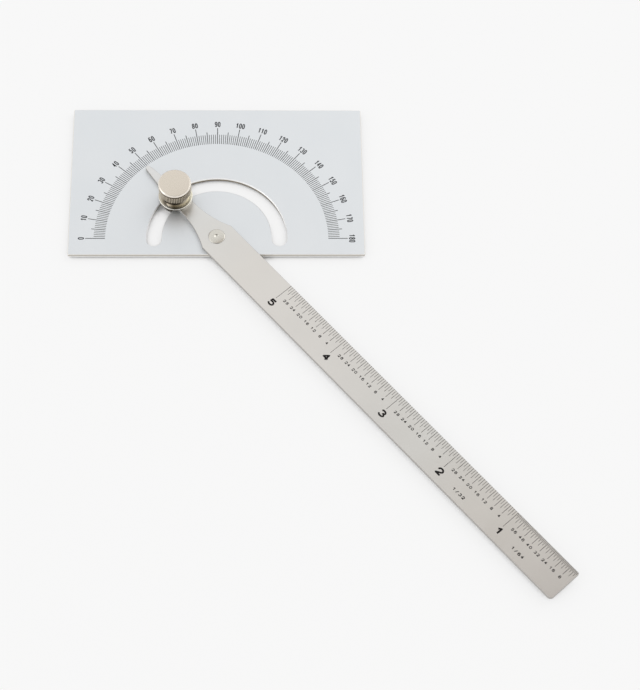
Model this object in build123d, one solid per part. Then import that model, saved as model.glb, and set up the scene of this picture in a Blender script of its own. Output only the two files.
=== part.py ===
from build123d import *
import os
from math import cos, radians, sin, sqrt

# Engineers protractor, in millimetres.
# The pivot axis is the Z axis and the plate's back lies in the plane z = 0.
# The plate's reference edge faces -Y. Reading 0 is on the -X side, reading 180 on the +X side.

INCH = 25.4

# Reading that the pointer shows in the modelled position, in degrees
REST_READING = 49.0

# Blade: the flat arm with the rule at one end and the pointer at the other
BLADE_WIDTH = 12.0
BLADE_THICKNESS = 1.2
BLADE_EDGE_BREAK = 0.1
RULE_START = 29.0
RULE_INCHES = 5
RULE_EDGE_CORNER = 0.5
PLAIN_EDGE_CORNER = 1.3
NECK_WIDTH = 5.3
FLARE_RADIUS = 31.3
BOSS_DIAMETER = 8.4
STUD_SIDE_OFFSET = 0.3
POINTER_TIP_WIDTH = 1.6
POINTER_TAPER_LENGTH = 16.0
POINTER_GAP = 0.7

# Plate: margins are measured from the outer ends of the ten degree lines
PLATE_THICKNESS = 1.5
PLATE_EDGE_BREAK = 0.2
PLATE_CORNER = 0.5
SIDE_MARGIN = 5.45
TOP_MARGIN = 7.1

# Degree scale, etched into the plate's front
SCALE_DEGREES = 180
SCALE_RADIUS = 35.6
DEGREE_LINE = 3.6
FIVE_DEGREE_LINE = 4.6
TEN_DEGREE_LINE = 6.2
LINE_WIDTH = 0.15
LINE_DEPTH = 0.06

# Rule on the blade, etched across its measuring edge
INCH_LINE = 6.5
EIGHTH_LINE = 3.85
SIXTEENTH_LINE = 2.95
THIRTY_SECOND_LINE = 2.0
SIXTY_FOURTH_LINE = 1.15
RULE_LINE_WIDTH = 0.12
INCH_PARTS = 64

# Arc slot for the clamp stud
SLOT_RADIUS = 20.0
SLOT_WIDTH = 4.7
SLOT_OVERRUN_DEG = 1.0

# Pivot rivet
RIVET_HEAD_DIAMETER = 5.3
RIVET_HEAD_THICKNESS = 0.8
RIVET_HEAD_PROUD = 0.25
RIVET_SHANK_DIAMETER = 3.6
RIVET_FOOT_DIAMETER = 5.6
RIVET_FOOT_THICKNESS = 0.5
RIVET_EDGE_BREAK = 0.12
RIVET_MARK_DIAMETER = 1.2
RIVET_MARK_DEPTH = 0.1

# Clamp stud
STUD_HEAD_DIAMETER = 9.0
STUD_HEAD_THICKNESS = 0.6
STUD_DIAMETER = 4.0
STUD_ACROSS_FLATS = 3.2
STUD_REACH_IN_NUT = 5.2
STUD_EDGE_BREAK = 0.15

# Washer under the nut
WASHER_DIAMETER = 11.0
WASHER_THICKNESS = 0.9
WASHER_EDGE_BREAK = 0.15

# Thumb nut
NUT_COLLAR_DIAMETER = 9.2
NUT_COLLAR_HEIGHT = 3.1
NUT_DIAMETER = 10.5
NUT_BAND_HEIGHT = 4.1
NUT_TOP_CHAMFER = 0.35
NUT_BOTTOM_CHAMFER = 0.3
KNURL_COUNT = 60
KNURL_DEPTH = 0.24
NUT_BORE_END_GAP = 0.3

# Fits, each the gap on one side
PIVOT_CLEARANCE = 0.05
STAKED_GAP = 0.01
STUD_CLEARANCE = 0.05
WASHER_CLEARANCE = 0.1
NECK_CLEARANCE = 0.1
NECK_END_GAP = 0.05

# Heights of the stacked faces
blade_bottom = PLATE_THICKNESS
blade_top = blade_bottom + BLADE_THICKNESS
washer_top = blade_top + WASHER_THICKNESS
collar_top = washer_top + NUT_COLLAR_HEIGHT
nut_top = collar_top + NUT_BAND_HEIGHT
stud_top = washer_top + STUD_REACH_IN_NUT

# Reach of the plate and of the blade from the pivot
plate_half_width = SCALE_RADIUS + TEN_DEGREE_LINE + SIDE_MARGIN
plate_top_reach = SCALE_RADIUS + TEN_DEGREE_LINE + TOP_MARGIN
edge_below_pivot = BLADE_WIDTH / 2
blade_end = RULE_START + RULE_INCHES * INCH
pointer_reach = SCALE_RADIUS - POINTER_GAP

# The blade is drawn along +X and then turned to its reading.
# The stud's hole lies a little to the plain edge's side of the middle line.
blade_turn = Rot(0, 0, -REST_READING)
stud_place = blade_turn * Pos(-SLOT_RADIUS, -STUD_SIDE_OFFSET, 0)


def disc(diameter, bottom, height):
    """Upright cylinder on the local Z axis, standing on the height called bottom."""
    return Pos(0, 0, bottom) * Cylinder(
        diameter / 2, height, align=(Align.CENTER, Align.CENTER, Align.MIN)
    )


def level_edges(part, height):
    """Edges that lie flat at one height."""
    return part.edges().filter_by_position(Axis.Z, height, height)


def line_cutter(start, length, width, top):
    """Cutter for one etched line that runs along local X from start."""
    return Pos(start, 0, top) * Box(
        length, width, 2 * LINE_DEPTH, align=(Align.MIN, Align.CENTER, Align.CENTER)
    )


def degree_line_length(degree):
    if degree % 10 == 0:
        return TEN_DEGREE_LINE
    if degree % 5 == 0:
        return FIVE_DEGREE_LINE
    return DEGREE_LINE


def degree_lines():
    cutters = []
    for degree in range(SCALE_DEGREES + 1):
        cutter = line_cutter(SCALE_RADIUS, degree_line_length(degree), LINE_WIDTH, PLATE_THICKNESS)
        cutters.append(Rot(0, 0, 180 - degree) * cutter)
    return cutters


def arc_slot():
    """Slot round the pivot, with round ends just past readings 0 and 180."""
    half_turn = SCALE_DEGREES + 2 * SLOT_OVERRUN_DEG
    middle = CenterArc((0, 0), SLOT_RADIUS, -SLOT_OVERRUN_DEG, half_turn)
    outline = SlotArc(middle, SLOT_WIDTH)
    return extrude(outline, PLATE_THICKNESS)


def make_scale_plate():
    width = 2 * plate_half_width
    depth = plate_top_reach + edge_below_pivot
    outline = Pos(0, -edge_below_pivot) * RectangleRounded(
        width, depth, PLATE_CORNER, align=(Align.CENTER, Align.MIN)
    )
    plate = extrude(outline, PLATE_THICKNESS) - arc_slot()
    plate = chamfer(level_edges(plate, PLATE_THICKNESS) + level_edges(plate, 0), PLATE_EDGE_BREAK)
    plate -= disc(RIVET_SHANK_DIAMETER + 2 * STAKED_GAP, 0, PLATE_THICKNESS)
    return plate - degree_lines()


def blade_outline():
    """Rule, flare, neck and pointer as one closed outline, then the boss round the stud."""
    half_rule = BLADE_WIDTH / 2
    half_neck = NECK_WIDTH / 2
    half_tip = POINTER_TIP_WIDTH / 2
    rise = half_rule - half_neck
    flare_run = sqrt(FLARE_RADIUS**2 - (FLARE_RADIUS - rise) ** 2)
    middle_run = flare_run / 2
    middle_rise = FLARE_RADIUS - sqrt(FLARE_RADIUS**2 - middle_run**2)
    taper_start = POINTER_TAPER_LENGTH - pointer_reach

    def side(sign):
        """Points along one side, from the flare's shoulder to the pointer's tip."""
        shoulder = (0, sign * half_rule)
        flare_middle = (middle_run - flare_run, sign * (half_neck + middle_rise))
        neck_start = (-flare_run, sign * half_neck)
        neck_end = (taper_start, sign * half_neck)
        tip = (-pointer_reach + half_tip, sign * half_tip)
        return shoulder, flare_middle, neck_start, neck_end, tip

    shoulder, flare_middle, neck_start, neck_end, tip = side(1)
    low_shoulder, low_flare_middle, low_neck_start, low_neck_end, low_tip = side(-1)
    edges = [
        Line((blade_end, half_rule), shoulder),
        ThreePointArc(shoulder, flare_middle, neck_start),
        Polyline(neck_start, neck_end, tip),
        ThreePointArc(tip, (-pointer_reach, 0), low_tip),
        Polyline(low_tip, low_neck_end, low_neck_start),
        ThreePointArc(low_neck_start, low_flare_middle, low_shoulder),
        Polyline(low_shoulder, (blade_end, -half_rule), (blade_end, half_rule)),
    ]
    return make_face(edges) + Pos(-SLOT_RADIUS, -STUD_SIDE_OFFSET) * Circle(BOSS_DIAMETER / 2)


def double_d(diameter, across_flats, bottom, height):
    """Round bar with two flats, on the local Z axis."""
    bar = disc(diameter, bottom, height)
    flats = Pos(0, 0, bottom) * Box(
        diameter, across_flats, height, align=(Align.CENTER, Align.CENTER, Align.MIN)
    )
    return bar & flats


def rule_line_length(part):
    """Length of the line that lies a number of sixty-fourths of an inch from the blade's end."""
    if part % INCH_PARTS == 0:
        return INCH_LINE
    if part % (INCH_PARTS // 8) == 0:
        return EIGHTH_LINE
    if part % (INCH_PARTS // 16) == 0:
        return SIXTEENTH_LINE
    if part % (INCH_PARTS // 32) == 0:
        return THIRTY_SECOND_LINE
    return SIXTY_FOURTH_LINE


def rule_lines():
    """Every sixty-fourth in the first inch from the blade's end, every thirty-second after it."""
    cutters = []
    parts = [part for part in range(1, RULE_INCHES * INCH_PARTS + 1) if part < INCH_PARTS or part % 2 == 0]
    for part in parts:
        along = blade_end - part * INCH / INCH_PARTS
        length = rule_line_length(part)
        cutter = line_cutter(-length, length, RULE_LINE_WIDTH, blade_top)
        cutters.append(Pos(along, BLADE_WIDTH / 2, 0) * Rot(0, 0, 90) * cutter)
    return cutters


def make_blade():
    blade = Pos(0, 0, blade_bottom) * extrude(blade_outline(), BLADE_THICKNESS)
    end_corners = blade.edges().filter_by(Axis.Z).group_by(Axis.X)[-1].sort_by(Axis.Y)
    blade = fillet(end_corners[0], PLAIN_EDGE_CORNER)
    end_corners = blade.edges().filter_by(Axis.Z).group_by(Axis.X)[-1]
    blade = fillet(end_corners, RULE_EDGE_CORNER)
    blade = chamfer(level_edges(blade, blade_top) + level_edges(blade, blade_bottom), BLADE_EDGE_BREAK)
    pivot_hole = RIVET_SHANK_DIAMETER + 2 * PIVOT_CLEARANCE
    counterbore = RIVET_HEAD_DIAMETER + 2 * PIVOT_CLEARANCE
    sunk = RIVET_HEAD_THICKNESS - RIVET_HEAD_PROUD
    blade -= disc(pivot_hole, blade_bottom, BLADE_THICKNESS)
    blade -= disc(counterbore, blade_top - sunk, sunk)
    stud_hole = double_d(
        STUD_DIAMETER + 2 * STUD_CLEARANCE,
        STUD_ACROSS_FLATS + 2 * STUD_CLEARANCE,
        blade_bottom,
        BLADE_THICKNESS,
    )
    blade -= Pos(-SLOT_RADIUS, -STUD_SIDE_OFFSET, 0) * stud_hole
    return blade_turn * (blade - rule_lines())


def make_pivot_rivet():
    """Shank staked to the plate, with a thin head sunk in the blade and a foot on the back."""
    head_bottom = blade_top + RIVET_HEAD_PROUD - RIVET_HEAD_THICKNESS
    head_top = blade_top + RIVET_HEAD_PROUD
    head = disc(RIVET_HEAD_DIAMETER, head_bottom, RIVET_HEAD_THICKNESS)
    head = chamfer(level_edges(head, head_top), RIVET_EDGE_BREAK)
    head -= disc(RIVET_MARK_DIAMETER, head_top - RIVET_MARK_DEPTH, RIVET_MARK_DEPTH)
    foot = disc(RIVET_FOOT_DIAMETER, -RIVET_FOOT_THICKNESS, RIVET_FOOT_THICKNESS)
    foot = chamfer(level_edges(foot, -RIVET_FOOT_THICKNESS), RIVET_EDGE_BREAK)
    return head + disc(RIVET_SHANK_DIAMETER, 0, head_bottom) + foot


def make_clamp_stud():
    """Flat head behind the plate, round neck in the slot, flatted end up into the nut."""
    head = disc(STUD_HEAD_DIAMETER, -STUD_HEAD_THICKNESS, STUD_HEAD_THICKNESS)
    head = chamfer(level_edges(head, -STUD_HEAD_THICKNESS), STUD_EDGE_BREAK)
    neck_height = PLATE_THICKNESS - NECK_END_GAP
    neck = disc(SLOT_WIDTH - 2 * NECK_CLEARANCE, 0, neck_height)
    end = double_d(STUD_DIAMETER, STUD_ACROSS_FLATS, neck_height, stud_top - neck_height)
    return stud_place * (head + neck + end)


def make_clamp_washer():
    washer = disc(WASHER_DIAMETER, blade_top, WASHER_THICKNESS)
    washer = chamfer(level_edges(washer, blade_top) + level_edges(washer, washer_top), WASHER_EDGE_BREAK)
    return stud_place * (washer - disc(STUD_DIAMETER + 2 * WASHER_CLEARANCE, blade_top, WASHER_THICKNESS))


def knurl_cutters():
    """V grooves round the nut's band, each the corner of a square bar."""
    side = 2 * KNURL_DEPTH
    centre = NUT_DIAMETER / 2 - KNURL_DEPTH + side / sqrt(2)
    bar = Pos(centre, 0, collar_top) * Rot(0, 0, 45) * Box(
        side, side, NUT_BAND_HEIGHT, align=(Align.CENTER, Align.CENTER, Align.MIN)
    )
    return [Rot(0, 0, 360 * index / KNURL_COUNT) * bar for index in range(KNURL_COUNT)]


def make_thumb_nut():
    """Blind nut: plain collar below, knurled band above, closed flat top."""
    band = disc(NUT_DIAMETER, collar_top, NUT_BAND_HEIGHT)
    band = chamfer(level_edges(band, nut_top), NUT_TOP_CHAMFER)
    band = chamfer(level_edges(band, collar_top), NUT_BOTTOM_CHAMFER)
    band -= knurl_cutters()
    nut = band + disc(NUT_COLLAR_DIAMETER, washer_top, NUT_COLLAR_HEIGHT)
    bore_depth = STUD_REACH_IN_NUT + NUT_BORE_END_GAP
    return stud_place * (nut - disc(STUD_DIAMETER + 2 * STUD_CLEARANCE, washer_top, bore_depth))


PARTS = {
    "scale_plate": make_scale_plate,
    "blade": make_blade,
    "pivot_rivet": make_pivot_rivet,
    "clamp_stud": make_clamp_stud,
    "clamp_washer": make_clamp_washer,
    "thumb_nut": make_thumb_nut,
}

os.makedirs("parts", exist_ok=True)
for name, make in PARTS.items():
    export_step(make(), f"parts/{name}.step")
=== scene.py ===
import math

import bmesh
import bpy
from mathutils import Matrix, Vector


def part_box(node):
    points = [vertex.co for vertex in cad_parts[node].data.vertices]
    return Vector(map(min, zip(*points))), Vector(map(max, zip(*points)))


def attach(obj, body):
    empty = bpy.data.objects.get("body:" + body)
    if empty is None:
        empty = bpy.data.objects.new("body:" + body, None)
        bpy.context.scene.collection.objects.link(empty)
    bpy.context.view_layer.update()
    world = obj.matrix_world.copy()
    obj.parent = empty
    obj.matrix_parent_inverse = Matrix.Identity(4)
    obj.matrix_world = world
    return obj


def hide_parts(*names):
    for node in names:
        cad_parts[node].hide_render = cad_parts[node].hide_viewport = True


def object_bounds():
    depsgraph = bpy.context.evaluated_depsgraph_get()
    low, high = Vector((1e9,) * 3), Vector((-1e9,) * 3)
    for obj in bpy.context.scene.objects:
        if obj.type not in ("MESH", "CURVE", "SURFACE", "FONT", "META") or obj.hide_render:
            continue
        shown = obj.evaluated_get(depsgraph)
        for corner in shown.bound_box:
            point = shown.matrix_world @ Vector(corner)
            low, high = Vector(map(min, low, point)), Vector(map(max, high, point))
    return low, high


# Engineers protractor: the looks of the plate, the ruled blade and its clamp,
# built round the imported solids.
# Lengths are in metres unless a name ends in _MM or _mm. The pivot axis is the Z axis.

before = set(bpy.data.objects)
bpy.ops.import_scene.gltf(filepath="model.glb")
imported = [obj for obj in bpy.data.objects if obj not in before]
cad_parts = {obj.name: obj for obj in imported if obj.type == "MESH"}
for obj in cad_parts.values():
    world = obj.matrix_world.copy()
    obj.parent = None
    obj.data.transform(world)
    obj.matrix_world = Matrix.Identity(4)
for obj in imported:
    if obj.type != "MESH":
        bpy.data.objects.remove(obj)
cad_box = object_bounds()
scene = bpy.context.scene

MM = 0.001
INCH_MM = 25.4
REST_ANGLE = math.radians(49.0)

# Degree scale on the plate. Each kind of line is (degrees from one to the next, length)
DEGREES = 180
SCALE_RADIUS_MM = 35.6
DEGREE_LINES_MM = ((10, 6.2), (5, 4.6), (1, 3.6))
DEGREE_LINE_WIDTH_MM = 0.188
DEGREE_LONG_WIDENING_MM = 0.05
DEGREES_PER_NUMERAL = 10
DEGREE_NUMERAL_RADIUS_MM = 43.2
DEGREE_NUMERAL_HEIGHT_MM = 2.05
DEGREE_NUMERAL_WIDTH_MM = 0.90
DEGREE_NUMERAL_PITCH_MM = 1.02
DEGREE_NUMERAL_STROKE_MM = 0.335

# Rule on the blade, counted in sixty-fourths of an inch from the blade's end.
# Each kind of line is (sixty-fourths from one to the next, length)
RULE_INCHES = 5
INCH_PARTS = 64
RULE_START_MM = 29.0
BLADE_HALF_WIDTH_MM = 6.0
RULE_LINES_MM = ((64, 6.5), (8, 3.85), (4, 2.95), (2, 2.0), (1, 1.15))
RULE_LINE_WIDTH_MM = 0.120
RULE_LONG_WIDENING_MM = 0.02
INCH_NUMERAL_HEIGHT_MM = 2.60
INCH_NUMERAL_WIDTH_MM = 2.42
INCH_NUMERAL_STROKE_MM = 0.60
INCH_NUMERAL_OFFSET_MM = -2.41
INCH_NUMERAL_SHIFT_MM = 0.25
PART_NUMERAL_HEIGHT_MM = 0.98
PART_NUMERAL_WIDTH_MM = 0.86
PART_NUMERAL_PITCH_MM = 1.15
PART_NUMERAL_STROKE_MM = 0.205
PART_NUMERAL_OFFSET_MM = 0.9
EIGHTHS = 8
FIRST_INCH_PARTS_PER_EIGHTH = 8
OTHER_INCH_PARTS_PER_EIGHTH = 4
UNIT_LABEL_HEIGHT_MM = 1.05
UNIT_LABEL_WIDTH_MM = 1.0
UNIT_LABEL_PITCH_MM = 1.3
UNIT_LABEL_STROKE_MM = 0.24
UNIT_LABEL_OFFSET_MM = -3.1
# Each label is (words, distance from the pivot)
UNIT_LABELS = (("1/32", 114.3), ("1/64", 139.3))

# Ink of both scales
GROOVE_DEPTH_MM = 0.06
INK_PROUD_MM = 0.003
NUMERAL_PROUD_MM = 0.015
LONG_LINE_MARGIN_MM = 0.5

# Lathe work
LATHE_SEGMENTS = 128
SAME_SPOT = 1e-8
ON_AXIS_MM = 1e-6
SHARP_EDGE = math.radians(35)

# Thumb nut, most sizes counted from its top
KNURL_RIBS = 60
KNURL_DEPTH_MM = 0.26
KNURL_FILL = 0.92
RIB_RING_POINTS = 8
RIB_LENGTH_POINTS = 9
RIB_END_SHARE = 0.35
RIB_TAPER_MM = 0.16
RIB_END_GAP_MM = 0.05
NUT_RIM_MM = 0.42
NUT_RIM_BEVEL_MM = 0.40
NUT_RIM_BEVEL_DROP_MM = 0.38
NUT_GROOVE_SINK_MM = 0.12
NUT_GROOVE_LIP_MM = 0.05
NUT_GROOVE_FLOOR_END_MM = 0.02
NUT_BAND_TOP_MM = 0.98
NUT_BAND_FULL_MM = 0.12
NUT_BAND_BOTTOM_MM = 4.3
NUT_BAND_SINK_MM = 0.02
NUT_BAND_BREAK_MM = 0.20
NUT_NECK_SINK_MM = 0.25
NUT_NECK_START_MM = 0.02
NUT_NECK_END_MM = 0.45
NUT_COLLAR_START_MM = 0.62
NUT_COLLAR_RADIUS_MM = 4.6
NUT_FOOT_BREAK_MM = 0.15
NUT_BORE_RADIUS_MM = 2.05
NUT_BORE_DEPTH_MM = 5.5
NUT_SEAT_GAP_MM = 0.01

# Washer under the nut
WASHER_HOLE_RADIUS_MM = 2.1
WASHER_HOLE_BREAK_MM = (0.1, 0.05)
WASHER_FLAT_RADIUS_MM = 4.6
WASHER_FALL_MM = 0.12
WASHER_RIM_MM = (0.10, 0.12)
WASHER_FOOT_BREAK_MM = 0.16

# Pivot rivet
RIVET_HEAD_RADIUS_MM = 2.65
RIVET_HEAD_THICKNESS_MM = 0.8
RIVET_SHANK_RADIUS_MM = 1.8
RIVET_FOOT_THICKNESS_MM = 0.5
# The head's face with its centre mark, from the axis out: radius, depth below the top, rounding
RIVET_CROWN_MM = ((0.0, 0.16, 0), (0.42, 0.15, 0.08), (0.74, 0.0, 0.12), (1.5, 0.02, 0.4))
RIVET_HEAD_EDGE_IN_MM = 0.14
RIVET_HEAD_EDGE_DEPTHS_MM = (0.09, 0.20)
# The staked foot's edge and face: reach in from its rim, height above its lowest face, rounding
RIVET_FOOT_MM = ((0.1, 0.5, 0.06), (0.0, 0.38, 0.1), (0.30, 0.05, 0.2))
RIVET_FOOT_FLAT_RADIUS_MM = 0.9
RIVET_FOOT_HOLLOW_MM = 0.03

# Grain shared by the metals
WHITE = (1, 1, 1)
GRAIN_DETAIL = 3.0
GRAIN_ROUGHNESS = 0.6
GRAIN_STRENGTH = 0.6
CLOUD_SCALE = 60.0
GLOSS_SHIFT = 0.25
GLOSS_SPAN = (0.35, 0.65)
WALL_FACING = (0.75, 0.95)
RING_STRENGTH = 0.5
RING_WOBBLE = 0.6
WAVE_RADIANS = 20

# Painted shade and dirt get warmer as they get darker, by these powers of their brightness in green and blue
SHADE_AND_DIRT_GREEN_POWER = 1.12
SHADE_AND_DIRT_BLUE_POWER = 1.35

# Ink's grain
INK_TONE_SCALE = 1500.0
INK_ROUGHNESS = (0.45, 0.65)
INK_PIT_SCALE = 9000.0
INK_PIT_STRENGTH = 0.5
INK_PIT_DEPTH = 4e-6

# Painted shade and highlights on the clamp from its left to its right: distance from the nut's axis,
# brightness
FOOT_REACH_MM = 5.0
NUT_PATCHES_MM = (
    (-4.6, 0.55),
    (-4.0, 0.60),
    (-3.6, 0.12),
    (-2.9, 0.12),
    (-2.4, 1.35),
    (-1.6, 1.15),
    (-0.6, 0.62),
    (1.0, 0.95),
    (3.2, 1.25),
)
WASHER_PATCHES_MM = (
    (-4.9, 0.75),
    (-3.8, 0.70),
    (-2.4, 1.20),
    (-1.6, 1.15),
    (-0.6, 0.77),
    (1.0, 0.97),
    (3.2, 1.15),
)
# Where the painted highlight on the right of the clamp's foot starts and is full, and how strong it gets
FOOT_HIGHLIGHT_MM = (0.5, 4.0)
FOOT_HIGHLIGHT_SHARE = 0.8
NUT_HIGHLIGHT_COLOUR = (1.0, 0.97, 0.90)
WASHER_HIGHLIGHT_WALL = (0.80, 0.76, 0.68)
# The washer's edge from its foot to its top: place, brightness, dark at the foot as painted shade
WASHER_WALL_ZONES = ((0.0, 0.10), (0.45, 0.16), (0.62, 0.80), (1.0, 0.85))
# Painted shade on the washer's side towards the pivot: its turn, where it starts and is full, and its tint
WASHER_SHADED_ANGLE = math.radians(20.0)
WASHER_SHADED_MM = (-2.5, 4.0)
WASHER_SHADE_TINT = (0.72, 0.71, 0.63)
# Knurl from its valleys to its crests, grime and painted shade in the valleys and a painted highlight on the
# crests: place between nought and one, brightness
KNURL_SHADE_AND_GRIME = ((0.0, 0.14), (0.35, 0.24), (0.80, 1.12), (1.0, 1.12))
KNURL_WARMTH = (0.96, 0.88)
ZONE_BLUR = 0.01

# Sheared walls of the plate, with painted bands of light and shade, from its back to its face: place between
# nought and one, brightness
SLOT_WALL_ZONES = ((0.0, 0.22), (0.54, 0.25), (0.72, 0.95), (1.0, 1.0))
OUTER_WALL_ZONES = (
    (0.0, 0.30),
    (0.08, 0.40),
    (0.25, 0.90),
    (0.45, 0.95),
    (0.60, 0.40),
    (0.75, 0.38),
    (0.88, 0.80),
)
SLOT_SIDE_TINT = (0.86, 0.86, 0.86)
SLOT_FRONT_FACING = (-0.6, -0.1)
SLOT_OUTER_RADIUS_MM = 24.0
SLOT_LOWEST_MM = -5.0

# The blade's painted shade along its length: distance from the pivot towards the rule's end, and the share of
# each colour that is left
BLADE_SHADE_MM = (
    (-35.0, (1.0, 1.0, 1.0)),
    (-21.0, (0.98, 0.975, 0.955)),
    (-12.5, (1.0, 1.0, 0.985)),
    (-8.0, (0.985, 0.98, 0.96)),
    (-4.0, (0.972, 0.962, 0.935)),
    (15.0, (0.985, 0.955, 0.915)),
    (60.0, (0.985, 0.965, 0.935)),
    (95.0, (0.985, 0.985, 0.965)),
    (122.0, (0.985, 0.965, 0.935)),
    (140.0, (0.945, 0.925, 0.90)),
    (156.0, (0.895, 0.875, 0.855)),
)

# Floor: paper that shows as an even pale backdrop wherever it is open to the sky
FLOOR_HALF = 4.0
FLOOR_COLOUR = (0.93, 0.93, 0.93, 1)
FLOOR_ROUGHNESS = 0.9
BACKDROP_COLOUR = (0.94, 0.94, 0.94, 1)
BACKDROP_SHARE = 0.80
SKY_REACH_MM = 5
SKY_SAMPLES = 8
SKY_SPAN = (0.32, 0.66)

# The room: even pale walls, a dimmer and warmer patch overhead, and a dark one behind the camera.
# Each patch is (direction, cosine where it starts, cosine where it is full, colour)
ROOM_COLOUR = (1.02, 1.02, 1.02)
ROOM_PATCHES = (
    ((0.195, 0.195, 0.961), 0.945, 0.998, (0.36, 0.29, 0.22)),
    ((0.0, -0.407, 0.914), 0.866, 0.970, (0.10, 0.095, 0.09)),
)

# Each lamp is (name, place, power)
LAMPS = (("right_softbox", (1.30, 0.90, 1.25), 6.5), ("left_softbox", (-1.50, -0.20, 1.10), 4.0))
LAMP_SIZE = 1.3
LAMP_AIM = (0.03, -0.035, 0.0)

# Camera at the photograph's place
CAMERA_LENS = 96.6
CAMERA_SENSOR = 36.0
CAMERA_CLIP = (0.01, 20.0)
CAMERA_TARGET = Vector((0.0322, -0.0381, 0.0015))
CAMERA_DISTANCE = 0.5747
CAMERA_AZIMUTH = math.radians(-4.79)
CAMERA_ELEVATION = math.radians(63.37)
CAMERA_ROLL = math.radians(4.15)

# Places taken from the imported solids
rule_end_mm = RULE_START_MM + RULE_INCHES * INCH_MM
plate_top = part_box("scale_plate")[1].z
blade_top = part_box("blade")[1].z
blade_turn = Matrix.Rotation(-REST_ANGLE, 4, "Z")
nut_low, nut_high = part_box("thumb_nut")
nut_axis = Vector(((nut_low.x + nut_high.x) / 2, (nut_low.y + nut_high.y) / 2, 0.0))
nut_radius_mm = (nut_high.x - nut_low.x) / 2 / MM
nut_top_mm = nut_high.z / MM
nut_bottom_mm = nut_low.z / MM
core_radius_mm = nut_radius_mm - KNURL_DEPTH_MM
band_top_mm = nut_top_mm - NUT_BAND_TOP_MM
band_bottom_mm = nut_top_mm - NUT_BAND_BOTTOM_MM
washer_low, washer_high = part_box("clamp_washer")
rivet_low, rivet_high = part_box("pivot_rivet")

# Painted shade on the nut from its foot to its top, dark on the collar under the band and in the groove under
# the rim, with a painted highlight on the rim: share of its height, brightness
nut_height_mm = nut_top_mm - nut_bottom_mm
band_start = (band_bottom_mm - nut_bottom_mm) / nut_height_mm
groove_start = (nut_height_mm - NUT_BAND_TOP_MM) / nut_height_mm
groove_end = (nut_height_mm - NUT_RIM_MM) / nut_height_mm
nut_height_shade = (
    (0.0, 0.60),
    (0.03, 0.82),
    (0.13, 0.76),
    (0.165, 0.40),
    (0.19, 0.06),
    (band_start - 0.005, 0.05),
    (band_start + 0.02, 0.80),
    (band_start + 0.20, 0.88),
    (groove_start - 0.01, 0.88),
    (groove_start + 0.01, 0.12),
    (groove_end - 0.008, 0.10),
    (groove_end + 0.004, 1.18),
    (0.992, 1.18),
    (0.998, 1.0),
)


# Nodes


def add_node(tree, kind, wires=None, **settings):
    """Adds a node. Each wire is an input's name or number and what feeds it, a socket or a plain value."""
    made = tree.nodes.new(kind)
    for name, value in settings.items():
        setattr(made, name, value)
    for key, value in (wires or {}).items():
        if isinstance(value, bpy.types.NodeSocket):
            tree.links.new(value, made.inputs[key])
        else:
            made.inputs[key].default_value = value
    return made


def math_node(tree, operation, *values):
    """One operation on up to three numbers."""
    return add_node(tree, "ShaderNodeMath", dict(enumerate(values)), operation=operation).outputs[0]


def remap(tree, value, low, high, to_low=0.0, to_high=1.0, smooth=False):
    """Maps low to high onto two other numbers, and holds the ends beyond them."""
    wires = {"Value": value, "From Min": low, "From Max": high, "To Min": to_low, "To Max": to_high}
    kind = "SMOOTHSTEP" if smooth else "LINEAR"
    return add_node(tree, "ShaderNodeMapRange", wires, interpolation_type=kind).outputs["Result"]


def axis_part(tree, vector, axis):
    """One coordinate of a vector."""
    return add_node(tree, "ShaderNodeSeparateXYZ", {0: vector}).outputs[axis]


def length_of(tree, vector):
    """How long a vector is."""
    return add_node(tree, "ShaderNodeVectorMath", {0: vector}, operation="LENGTH").outputs["Value"]


def coordinates(tree, kind):
    """One kind of texture coordinates."""
    return add_node(tree, "ShaderNodeTexCoord").outputs[kind]


def surface_coordinates(tree, scale=(1, 1, 1), turn=0.0, centre=(0.0, 0.0, 0.0)):
    """Object coordinates about a centre, turned round Z and then scaled."""
    wires = {0: coordinates(tree, "Object"), 1: centre}
    moved = add_node(tree, "ShaderNodeVectorMath", wires, operation="SUBTRACT")
    turned_round = add_node(tree, "ShaderNodeMapping", {"Vector": moved.outputs[0], "Rotation": (0, 0, turn)})
    wires = {"Vector": turned_round.outputs[0], "Scale": scale}
    return add_node(tree, "ShaderNodeMapping", wires).outputs[0]


def noise(tree, vector, scale, detail=2.0, roughness=0.5):
    """Cloudy numbers round one half."""
    wires = {"Vector": vector, "Scale": scale, "Detail": detail, "Roughness": roughness}
    return add_node(tree, "ShaderNodeTexNoise", wires).outputs["Fac"]


def spread(tree, value, low, high, span=(0.3, 0.7)):
    """Maps the middle of a noise onto low to high."""
    return remap(tree, value, *span, low, high)


def mix_colours(tree, amount, first, second, blend):
    """Blends two colours, each a socket or plain numbers."""
    wires = {0: amount}
    for key, colour in ((6, first), (7, second)):
        wires[key] = colour if isinstance(colour, bpy.types.NodeSocket) else (*colour, 1)
    return add_node(tree, "ShaderNodeMix", wires, data_type="RGBA", blend_type=blend).outputs[2]


def tint(tree, amount, first, second):
    """Goes from the first colour to the second."""
    return mix_colours(tree, amount, first, second, "MIX")


def times(tree, first, second):
    """Darkens one colour by another."""
    return mix_colours(tree, 1.0, first, second, "MULTIPLY")


def bump(tree, height, strength, distance, under=None):
    """Tilts the surface by a height, on top of another bump if there is one."""
    wires = {"Height": height, "Strength": strength, "Distance": distance}
    if under is not None:
        wires["Normal"] = under
    return add_node(tree, "ShaderNodeBump", wires).outputs["Normal"]


def colour_stops(tree, value, stops):
    """A colour from a number between nought and one. Each stop is (place, colour)."""
    made = add_node(tree, "ShaderNodeValToRGB", {0: value})
    elements = made.color_ramp.elements
    while len(elements) < len(stops):
        elements.new(1.0)
    for element, (place, colour) in zip(elements, stops):
        element.position = place
        element.color = (*colour, 1)
    return made.outputs[0]


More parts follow.
